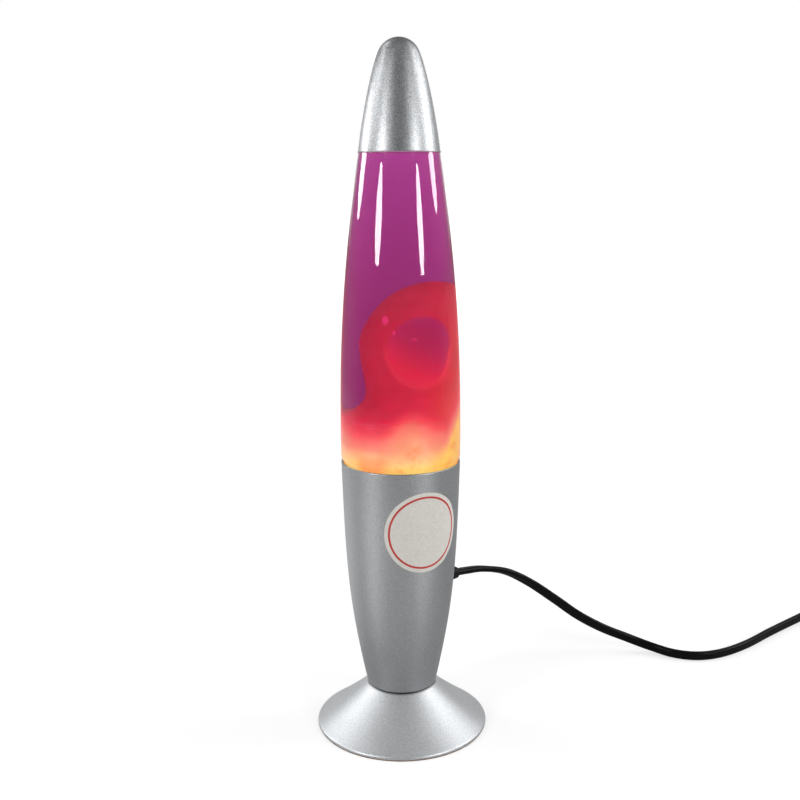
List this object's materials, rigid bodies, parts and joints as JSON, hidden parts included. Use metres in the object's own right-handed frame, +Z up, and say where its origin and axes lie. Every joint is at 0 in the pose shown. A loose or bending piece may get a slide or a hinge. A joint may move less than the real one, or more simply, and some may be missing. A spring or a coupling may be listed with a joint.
{
  "type": "liquid motion lamp",
  "caption": "Tapered glass bottle of coloured liquid and wax in a bellied metal holder on a flared foot, with a pointed cap, a reflector lamp inside and a flat cord with switch and plug.",
  "frame": {"origin": "middle of the foot's underside, where the lamp stands on the table", "axes": "+Z up along the lamp's axis, +X to the right as the picture shows it, +Y to the back"},
  "size_m": [0.3949, 0.2776, 0.35],
  "materials": {
    "silver_paint": "satin metallic paint",
    "fibre_pad": "matte fibre board",
    "plated_steel": "bright plated",
    "contact_brass": "bright",
    "socket_ceramic": "glazed",
    "brown_wire": "matte",
    "blue_wire": "matte",
    "lamp_glass": "clear to mirrored",
    "lamp_cap": "bright",
    "lamp_insulator": "glossy",
    "bottle_glass": "clear",
    "purple_liquid": "clear liquid",
    "red_wax": "melted wax",
    "liner": "soft liner",
    "black_cord": "matte",
    "black_rubber": "matte",
    "black_plastic": "semi-gloss"
  },
  "bodies": {
    "base": {"foot": "silver_paint", "foot_pad": "fibre_pad", "stem": "plated_steel", "stem_nuts": "plated_steel", "stem_washers": "plated_steel", "holder": "silver_paint", "cord_bushing": "black_rubber", "socket_bracket": "plated_steel", "bracket_screw": "plated_steel", "socket_body": "socket_ceramic", "socket_shell": "contact_brass", "socket_contact": "contact_brass", "socket_terminals": "contact_brass", "terminal_screws": "plated_steel", "live_wire": "brown_wire", "neutral_wire": "blue_wire", "cord_lead": "black_cord", "switch_base": "black_plastic", "switch_cover": "black_plastic", "switch_screws": "plated_steel", "switch_contacts": "contact_brass", "cord_link": "black_cord", "cord_coil": "black_cord", "cord_tie": "black_rubber", "cord_tail": "black_cord", "plug_body": "black_plastic", "plug_pins": "contact_brass"},
    "bottle_body": {"bottle": "bottle_glass", "liquid": "purple_liquid", "wax": "red_wax", "wire_coil": "plated_steel", "crown_cap": "plated_steel", "crown_liner": "liner"},
    "cap_body": {"cap": "silver_paint"},
    "lamp_body": {"bulb_envelope": "lamp_glass", "bulb_cap": "lamp_cap", "bulb_insulator": "lamp_insulator", "bulb_contact": "plated_steel", "bulb_mount": "lamp_glass", "bulb_filament": "plated_steel"},
    "rocker_body": {"switch_rocker": "black_plastic"}
  },
  "joints": [
    {"name": "bottle_lift", "type": "slide", "parent": "base", "child": "bottle_body", "axis": [0, 0, 1], "range_m": [0, 0.06]},
    {"name": "cap_lift", "type": "slide", "parent": "bottle_body", "child": "cap_body", "axis": [0, 0, 1], "range_m": [0, 0.06]},
    {"name": "lamp_turn", "type": "hinge", "parent": "base", "child": "lamp_body", "pos_m": [0, 0, 0.06], "axis": [0, 0, 1], "range_deg": [0, 1440]},
    {"name": "rocker_tilt", "type": "hinge", "parent": "base", "child": "rocker_body", "pos_m": [0.332, 0.061, 0.013], "axis": [1, 0, 0], "range_deg": [-22, 0]}
  ]
}
